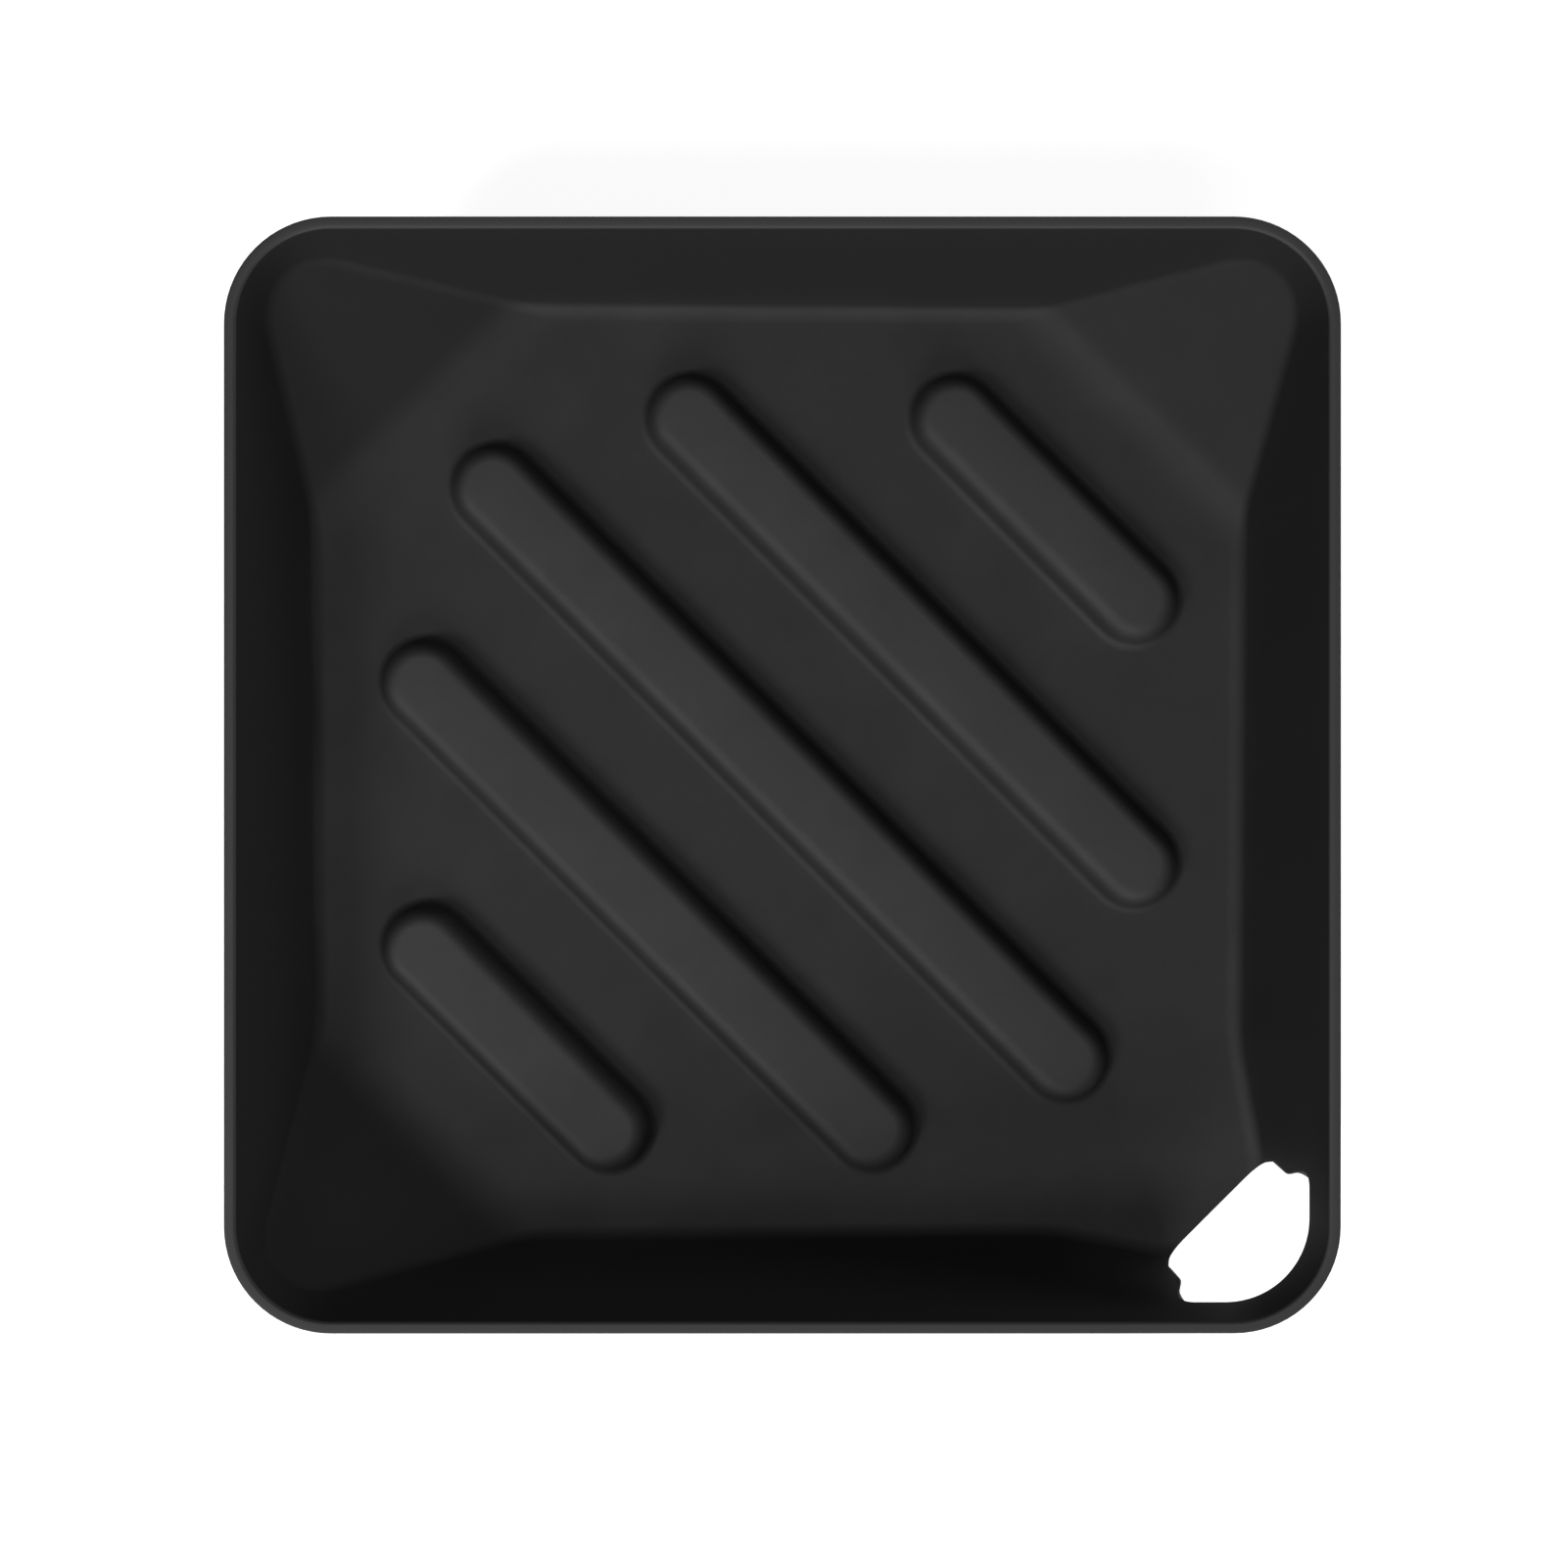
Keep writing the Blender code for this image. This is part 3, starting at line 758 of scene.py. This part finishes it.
def add_node(tree, kind, *inputs, **settings):
    """A node with its settings, and its inputs in order: a socket to link, a value, or None to leave."""
    node = tree.nodes.new(kind)
    for name, value in settings.items():
        setattr(node, name, value)
    for socket, value in zip([socket for socket in node.inputs if socket.enabled], inputs):
        if isinstance(value, bpy.types.NodeSocket):
            tree.links.new(value, socket)
        elif value is not None:
            socket.default_value = value
    return node


def nodes_object(item, name, sockets, build, values):
    """A plain mesh object from `item` under a Geometry Nodes tree that `build` fills in."""
    tree = bpy.data.node_groups.new(name, 'GeometryNodeTree')
    tree.interface.new_socket("Geometry", in_out='INPUT', socket_type='NodeSocketGeometry')
    tree.interface.new_socket("Geometry", in_out='OUTPUT', socket_type='NodeSocketGeometry')
    for label, kind in sockets:
        tree.interface.new_socket(label, in_out='INPUT', socket_type=kind)
    given = tree.nodes.new("NodeGroupInput").outputs
    result = build(tree, given)
    real = add_node(tree, "GeometryNodeRealizeInstances", result)
    finished = add_node(tree, "GeometryNodeSetMaterial", real.outputs[0], None, given["Material"])
    add_node(tree, "NodeGroupOutput", finished.outputs[0])
    modifier = item.modifiers.new(name, 'NODES')
    modifier.node_group = tree
    for socket in tree.interface.items_tree:
        if socket.in_out == 'INPUT' and socket.name in values:
            modifier[socket.identifier] = values[socket.name]
    bpy.context.scene.collection.objects.link(item)
    bpy.context.view_layer.update()
    graph = bpy.context.evaluated_depsgraph_get()
    data = bpy.data.meshes.new_from_object(item.evaluated_get(graph), depsgraph=graph)
    data.name = name
    if not data.polygons:
        raise RuntimeError(name + " came out empty")
    bpy.data.objects.remove(item)
    made = bpy.data.objects.new(name, data)
    bpy.context.scene.collection.objects.link(made)
    return made


RIB_SOCKETS = ("Pitch", "Pairs", "Reach", "Longest", "Setback", "Half width", "Height", "Lean",
               "Top radius", "Foot radius", "Thickness", "Least radius", "Wear")

# What each step of the ribs' rule works out: its name, the operation and what it is made from
RIB_RULE = (
    ("x-y", 'SUBTRACT', "x", "y"),
    ("x+y", 'ADD', "x", "y"),
    ("along", 'DIVIDE', "x-y", ROOT2),
    ("across", 'DIVIDE', "x+y", ROOT2),
    ("from middle", 'ADD', "along", "Setback"),
    ("from middle", 'ABSOLUTE', "from middle"),
    ("number", 'DIVIDE', "across", "Pitch"),
    ("number", 'ROUND', "number"),
    ("number", 'MINIMUM', "number", "Pairs"),
    ("fewest", 'MULTIPLY', "Pairs", -1.0),
    ("number", 'MAXIMUM', "number", "fewest"),
    ("offset", 'MULTIPLY', "number", "Pitch"),
    ("sideways", 'ABSOLUTE', "offset"),
    ("half length", 'SUBTRACT', "Reach", "sideways"),
    ("half length", 'MINIMUM', "half length", "Longest"),
    ("past end", 'SUBTRACT', "from middle", "half length"),
    ("past end", 'MAXIMUM', "past end", 0.0),
    ("past end", 'POWER', "past end", 2.0),
    ("beside", 'SUBTRACT', "across", "offset"),
    ("beside", 'POWER', "beside", 2.0),
    ("distance", 'ADD', "past end", "beside"),
    ("distance", 'SQRT', "distance"),
    ("hollow", 'MULTIPLY', "underside", "Thickness"),
    ("half width", 'SUBTRACT', "Half width", "hollow"),
    ("top radius", 'SUBTRACT', "Top radius", "hollow"),
    ("top radius", 'MAXIMUM', "top radius", "Least radius"),
    ("slant", 'MULTIPLY_ADD', "Lean", "Lean", 1.0),
    ("slant", 'SQRT', "slant"),
    # The upper rounding's middle, and where it runs into the rib's side
    ("top low", 'SUBTRACT', "Height", "top radius"),
    ("top middle", 'MULTIPLY', "Lean", "top low"),
    ("top middle", 'SUBTRACT', "half width", "top middle"),
    ("reach in", 'MULTIPLY', "slant", "top radius"),
    ("top middle", 'SUBTRACT', "top middle", "reach in"),
    ("top end", 'DIVIDE', "top radius", "slant"),
    ("top end", 'ADD', "top middle", "top end"),
    # The lower rounding's middle, and where it starts
    ("foot middle", 'SUBTRACT', "slant", "Lean"),
    ("foot middle", 'MULTIPLY_ADD', "Foot radius", "foot middle", "half width"),
    ("foot start", 'DIVIDE', "Foot radius", "slant"),
    ("foot start", 'SUBTRACT', "foot middle", "foot start"),
    # Height from the upper rounding
    ("top", 'MAXIMUM', "distance", "top middle"),
    ("top", 'MINIMUM', "top", "top end"),
    ("top", 'SUBTRACT', "top", "top middle"),
    ("top", 'POWER', "top", 2.0),
    ("top square", 'POWER', "top radius", 2.0),
    ("top", 'SUBTRACT', "top square", "top"),
    ("top", 'SQRT', "top"),
    ("top", 'ADD', "top low", "top"),
    # Height lost down the side
    ("side", 'MAXIMUM', "distance", "top end"),
    ("side", 'MINIMUM', "side", "foot start"),
    ("side", 'SUBTRACT', "top end", "side"),
    ("side", 'DIVIDE', "side", "Lean"),
    # Height lost in the lower rounding
    ("foot", 'MAXIMUM', "distance", "foot start"),
    ("foot", 'MINIMUM', "foot", "foot middle"),
    ("foot", 'SUBTRACT', "foot middle", "foot"),
    ("foot", 'POWER', "foot", 2.0),
    ("foot square", 'POWER', "Foot radius", 2.0),
    ("foot", 'SUBTRACT', "foot square", "foot"),
    ("foot", 'SQRT', "foot"),
    ("foot low", 'SUBTRACT', "foot middle", "foot start"),
    ("foot low", 'POWER', "foot low", 2.0),
    ("foot low", 'SUBTRACT', "foot square", "foot low"),
    ("foot low", 'SQRT', "foot low"),
    ("foot", 'SUBTRACT', "foot low", "foot"),
    ("rise", 'ADD', "top", "side"),
    ("rise", 'ADD', "rise", "foot"),
    # Painted light, lighter with height over the upper floor, and never less than the floor's
    ("upper side", 'SUBTRACT', 1.0, "underside"),
    ("rubbed", 'DIVIDE', "rise", "Height"),
    ("rubbed", 'MULTIPLY', "rubbed", "Wear"),
    ("rubbed", 'MULTIPLY', "rubbed", "upper side"),
    ("rubbed", 'MAXIMUM', "rubbed", "worn"),
)


def raise_ribs(tree, given):
    """Lifts floor and underside into round-ended ribs by their distance from the ribs' middle lines."""
    place = add_node(tree, "ShaderNodeSeparateXYZ", tree.nodes.new("GeometryNodeInputPosition").outputs[0])
    values = {"x": place.outputs[0], "y": place.outputs[1]}
    for name in ("underside", "worn"):
        values[name] = add_node(tree, "GeometryNodeInputNamedAttribute", name, data_type='FLOAT').outputs[0]
    values.update({label: given[label] for label in RIB_SOCKETS})
    for name, operation, *terms in RIB_RULE:
        sockets = [values.get(term, term) for term in terms]
        values[name] = add_node(tree, "ShaderNodeMath", *sockets, operation=operation).outputs[0]
    offset = add_node(tree, "ShaderNodeCombineXYZ", 0.0, 0.0, values["rise"])
    moved = add_node(tree, "GeometryNodeSetPosition", given["Geometry"], None, None, offset.outputs[0])
    # Stores the painted light, lighter up the ribs
    stored = add_node(
        tree, "GeometryNodeStoreNamedAttribute", moved.outputs[0], None, "worn", values["rubbed"],
        data_type='FLOAT', domain='POINT',
    )
    return stored.outputs[0]


def turn_pads(tree, given):
    """Turns the pad's profile round an upright axis and stands one at each place."""
    profile = add_node(tree, "GeometryNodeObjectInfo", given["Profile"])
    line = add_node(tree, "GeometryNodeMeshToCurve", profile.outputs["Geometry"])
    path = add_node(tree, "GeometryNodeCurvePrimitiveCircle", given["Steps"], given["Radius"])
    turned = add_node(tree, "GeometryNodeCurveToMesh", path.outputs[0], line.outputs[0])
    closed = add_node(tree, "GeometryNodeMergeByDistance", turned.outputs[0], None, WELD)
    smooth = add_node(tree, "GeometryNodeSetShadeSmooth", closed.outputs[0])
    placed = add_node(tree, "GeometryNodeInstanceOnPoints", given["Geometry"], None, smooth.outputs[0])
    return placed.outputs[0]


def pad_profile(pads, radius, stem_top):
    """A pad's half profile, from the stem's top round the disc to the middle of its sole."""
    points = [
        Vector((0, stem_top)),
        Vector((pads.stem_radius - pads.chamfer, stem_top)),
        Vector((pads.stem_radius, stem_top - pads.chamfer)),
        Vector((pads.stem_radius, pads.thickness)),
    ]
    right = Vector((1, 0))
    up = Vector((0, 1))
    upper = Vector((radius - pads.bead, pads.thickness - pads.bead))
    lower = Vector((radius - pads.rounding, pads.rounding))
    points += arc_points(upper, pads.bead * up, pads.bead * right, EDGE_ROWS)
    points += arc_points(lower, pads.rounding * right, -pads.rounding * up, ARC_ROWS)
    points.append(Vector((0, 0)))
    return points


def finish_piece(piece, nodes):
    """Smooth shading, and the piece's place in the model."""
    piece.data.set_sharp_from_angle(angle=SHARP_ANGLE)
    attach(piece, "root")
    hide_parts(*nodes)


def new_finish(name, ior):
    """A new material, its node tree and shader, and the Object coordinates that its patterns read."""
    material = bpy.data.materials.new(name)
    material.use_nodes = True
    tree = material.node_tree
    shader = tree.nodes["Principled BSDF"]
    shader.inputs["IOR"].default_value = ior
    place = tree.nodes.new("ShaderNodeTexCoord").outputs["Object"]
    return material, tree, shader, place


def roughen(tree, shader, place, grain):
    """Puts a fine grain on a finish."""
    noise = add_node(tree, "ShaderNodeTexNoise", place, 1 / grain.size, GRAIN_DETAIL)
    bump = add_node(tree, "ShaderNodeBump", grain.strength, grain.depth, None, noise.outputs[0])
    tree.links.new(bump.outputs[0], shader.inputs["Normal"])


def moulded_plastic(finish):
    """Injection-moulded black ABS from a fine spark-eroded mould: dull and even, with hardly a sheen.

    The rim, the ribs' upper parts and the flat floor are painted lighter than the walls and raised corners,
    as light falls on them, and are made smoother there.
    """
    material, tree, shader, place = new_finish("moulded_black_abs", PLASTIC_IOR)
    cloud = add_node(tree, "ShaderNodeTexNoise", place, 1 / MOTTLE_SIZE, MOTTLE_DETAIL, MOTTLE_SPECKS)
    uneven = add_node(tree, "ShaderNodeMapRange", cloud.outputs[0], *NOISE_SPAN, *MOTTLE_UNEVENNESS)
    worn = add_node(tree, "ShaderNodeAttribute", attribute_name="worn")
    rubbed = add_node(
        tree, "ShaderNodeMath", worn.outputs["Fac"], uneven.outputs[0], operation='MULTIPLY'
    )
    # Mixes in the lighter colour where light is painted
    painted_lightness = add_node(
        tree, "ShaderNodeMapRange", rubbed.outputs[0], LEAST_PAINTED_LIGHT, 1.0, 0.0, 1.0,
        interpolation_type='SMOOTHSTEP',
    )
    tint = add_node(
        tree, "ShaderNodeMix", painted_lightness.outputs[0], (*finish.plastic, 1), (*finish.worn_plastic, 1),
        data_type='RGBA',
    )
    tree.links.new(tint.outputs["Result"], shader.inputs["Base Color"])
    dull = add_node(tree, "ShaderNodeMapRange", painted_lightness.outputs[0], 0.0, 1.0, *PLASTIC_ROUGHNESS)
    flow = add_node(tree, "ShaderNodeTexNoise", place, 1 / FLOW_SIZE, SOFT_DETAIL)
    sheen = add_node(tree, "ShaderNodeMapRange", flow.outputs[0], *NOISE_SPAN, *FLOW_ROUGHNESS)
    roughness = add_node(tree, "ShaderNodeMath", dull.outputs[0], sheen.outputs[0], operation='ADD')
    tree.links.new(roughness.outputs[0], shader.inputs["Roughness"])
    roughen(tree, shader, place, PLASTIC_GRAIN)
    return material


def pad_rubber(base):
    """Compression-moulded silicone rubber: dead matt and slightly mottled, with a soft grip texture."""
    material, tree, shader, place = new_finish("black_silicone_rubber", RUBBER_IOR)
    shader.inputs["Base Color"].default_value = (*base, 1)
    cloud = add_node(tree, "ShaderNodeTexNoise", place, 1 / RUBBER_MOTTLE, SOFT_DETAIL)
    dull = add_node(tree, "ShaderNodeMapRange", cloud.outputs[0], *NOISE_SPAN, *RUBBER_ROUGHNESS)
    tree.links.new(dull.outputs[0], shader.inputs["Roughness"])
    roughen(tree, shader, place, RUBBER_GRAIN)
    return material


class SINKTRAY_OT_moulding(bpy.types.Operator):
    """Build the moulded tray with its ribs, drain window and legs"""

    bl_idname = "sink_tray.moulding"
    bl_label = "Moulded tray"

    def execute(self, context):
        sizes = context.scene.tray_sizes
        ribs = context.scene.rib_sizes
        shape = TrayShape(sizes, ribs)
        values = {
            "Pitch": ribs.pitch,
            "Pairs": float(ribs.pairs),
            "Reach": shape.rib_reach,
            "Longest": shape.rib_longest,
            "Setback": ribs.setback,
            "Half width": shape.rib_half,
            "Height": ribs.height,
            "Lean": ribs.lean,
            "Top radius": ribs.top_radius,
            "Foot radius": ribs.foot_radius,
            "Thickness": sizes.thickness,
            "Least radius": LEAST_RADIUS,
            "Wear": RIB_PAINTED_LIGHT,
            "Material": moulded_plastic(context.scene.tray_finish),
        }
        sockets = [(label, 'NodeSocketFloat') for label in RIB_SOCKETS]
        sockets.append(("Material", 'NodeSocketMaterial'))
        tray = nodes_object(tray_object(shape, ribs), "ribbed_tray", sockets, raise_ribs, values)
        tray.data.shade_smooth()
        finish_piece(tray, ["tray"])
        return {'FINISHED'}


class SINKTRAY_OT_foot_pads(bpy.types.Operator):
    """Build the soft pads under the legs"""

    bl_idname = "sink_tray.foot_pads"
    bl_label = "Foot pads"

    def execute(self, context):
        pads = context.scene.pad_sizes
        points = pad_profile(pads, PAD_RADIUS, PAD_HIGH.z)
        outline = bpy.data.meshes.new("pad_profile")
        edges = [(index, index + 1) for index in range(len(points) - 1)]
        outline.from_pydata([(point.x - PAD_RADIUS, -point.y, 0) for point in points], edges, [])
        profile = bpy.data.objects.new("pad_profile", outline)
        context.scene.collection.objects.link(profile)
        places = bpy.data.meshes.new("pad_places")
        places.from_pydata([(*place, 0) for place in pad_places()], [], [])
        values = {
            "Profile": profile,
            "Radius": PAD_RADIUS,
            "Steps": ROUND_COLUMNS,
            "Material": pad_rubber(context.scene.tray_finish.rubber),
        }
        sockets = (
            ("Profile", 'NodeSocketObject'),
            ("Radius", 'NodeSocketFloat'),
            ("Steps", 'NodeSocketInt'),
            ("Material", 'NodeSocketMaterial'),
        )
        item = bpy.data.objects.new("pad_places", places)
        made = nodes_object(item, "soft_foot_pads", sockets, turn_pads, values)
        bpy.data.objects.remove(profile)
        finish_piece(made, PAD_NODES)
        return {'FINISHED'}


class SINKTRAY_OT_stage(bpy.types.Operator):
    """Set up the floor, lights and camera"""

    bl_idname = "sink_tray.stage"
    bl_label = "Stage"

    def execute(self, context):
        scene = context.scene
        data = bpy.data.meshes.new("floor")
        signs = ((-1, -1), (1, -1), (1, 1), (-1, 1))
        corners = [(x * FLOOR_HALF, y * FLOOR_HALF, 0) for x, y in signs]
        data.from_pydata(corners, [], [(0, 1, 2, 3)])
        floor = bpy.data.objects.new("floor", data)
        scene.collection.objects.link(floor)
        data.materials.append(self.white_floor())
        self.white_world(scene)
        for lamp in LAMPS:
            self.add_lamp(scene, lamp)
        camera_data = bpy.data.cameras.new("camera")
        camera_data.lens = LENS
        camera_data.sensor_width = SENSOR
        camera_data.clip_start = CLIP_START
        camera = bpy.data.objects.new("camera", camera_data)
        camera.location = CAMERA_PLACE
        scene.collection.objects.link(camera)
        scene.camera = camera
        scene.view_settings.view_transform = 'Standard'
        return {'FINISHED'}

    def add_lamp(self, scene, lamp):
        """A soft lamp that points at the tray."""
        light = bpy.data.lights.new(lamp.name, 'AREA')
        light.shape = 'RECTANGLE'
        light.size, light.size_y = lamp.size
        light.energy = lamp.power
        item = bpy.data.objects.new(lamp.name, light)
        way = Matrix.Rotation(math.radians(lamp.azimuth), 3, 'Z') @ Vector((0, -1, 0))
        rise = math.radians(lamp.elevation)
        way = Vector((way.x * math.cos(rise), way.y * math.cos(rise), math.sin(rise)))
        item.location = LAMP_DISTANCE * way
        item.rotation_euler = (-way).to_track_quat('-Z', 'Y').to_euler()
        scene.collection.objects.link(item)

    def white_floor(self):
        """Plain white paper. For the camera and in reflections it glows, so that it comes out white."""
        material = bpy.data.materials.new("white_paper")
        material.use_nodes = True
        tree = material.node_tree
        shader = tree.nodes["Principled BSDF"]
        shader.inputs["Base Color"].default_value = (PAPER_GREY, PAPER_GREY, PAPER_GREY, 1)
        shader.inputs["Roughness"].default_value = PAPER_ROUGHNESS
        rays = tree.nodes.new("ShaderNodeLightPath")
        seen = add_node(
            tree, "ShaderNodeMath", rays.outputs["Is Camera Ray"], rays.outputs["Is Glossy Ray"],
            operation='MAXIMUM',
        )
        glow = add_node(tree, "ShaderNodeMath", seen.outputs[0], PAPER_GLOW, operation='MULTIPLY')
        shader.inputs["Emission Color"].default_value = (1, 1, 1, 1)
        tree.links.new(glow.outputs[0], shader.inputs["Emission Strength"])
        return material

    def white_world(self, scene):
        """White for the camera alone, so that the lamps light the object."""
        world = bpy.data.worlds.new("white_studio")
        world.use_nodes = True
        tree = world.node_tree
        background = tree.nodes["Background"]
        background.inputs["Color"].default_value = (1, 1, 1, 1)
        rays = tree.nodes.new("ShaderNodeLightPath")
        level = add_node(
            tree, "ShaderNodeMapRange", rays.outputs["Is Camera Ray"], 0.0, 1.0, DARK_WORLD, 1.0
        )
        tree.links.new(level.outputs[0], background.inputs["Strength"])
        scene.world = world


class SINKTRAY_PT_panel(bpy.types.Panel):
    """Sizes, colours and steps of the sink tray"""

    bl_label = "Sink tray"
    bl_idname = "SINKTRAY_PT_panel"
    bl_space_type = 'VIEW_3D'
    bl_region_type = 'UI'
    bl_category = "Sink tray"

    def draw(self, context):
        for group, name in GROUPS.items():
            box = self.layout.box()
            box.label(text=group.__doc__)
            values = getattr(context.scene, name)
            for value in group.__annotations__:
                box.prop(values, value)
        for operator in OPERATORS:
            self.layout.operator(operator.bl_idname)


GROUPS = {TraySizes: "tray_sizes", RibSizes: "rib_sizes", PadSizes: "pad_sizes", TrayFinish: "tray_finish"}
OPERATORS = (SINKTRAY_OT_moulding, SINKTRAY_OT_foot_pads, SINKTRAY_OT_stage)


def register():
    for item in (*GROUPS, *OPERATORS, SINKTRAY_PT_panel):
        bpy.utils.register_class(item)
    for group, name in GROUPS.items():
        setattr(bpy.types.Scene, name, PointerProperty(type=group))


def unregister():
    for name in GROUPS.values():
        delattr(bpy.types.Scene, name)
    for item in (SINKTRAY_PT_panel, *reversed(OPERATORS), *reversed(GROUPS)):
        bpy.utils.unregister_class(item)


def main():
    register()
    bpy.ops.sink_tray.moulding()
    bpy.ops.sink_tray.foot_pads()
    bpy.ops.sink_tray.stage()


if __name__ == "__main__":
    main()
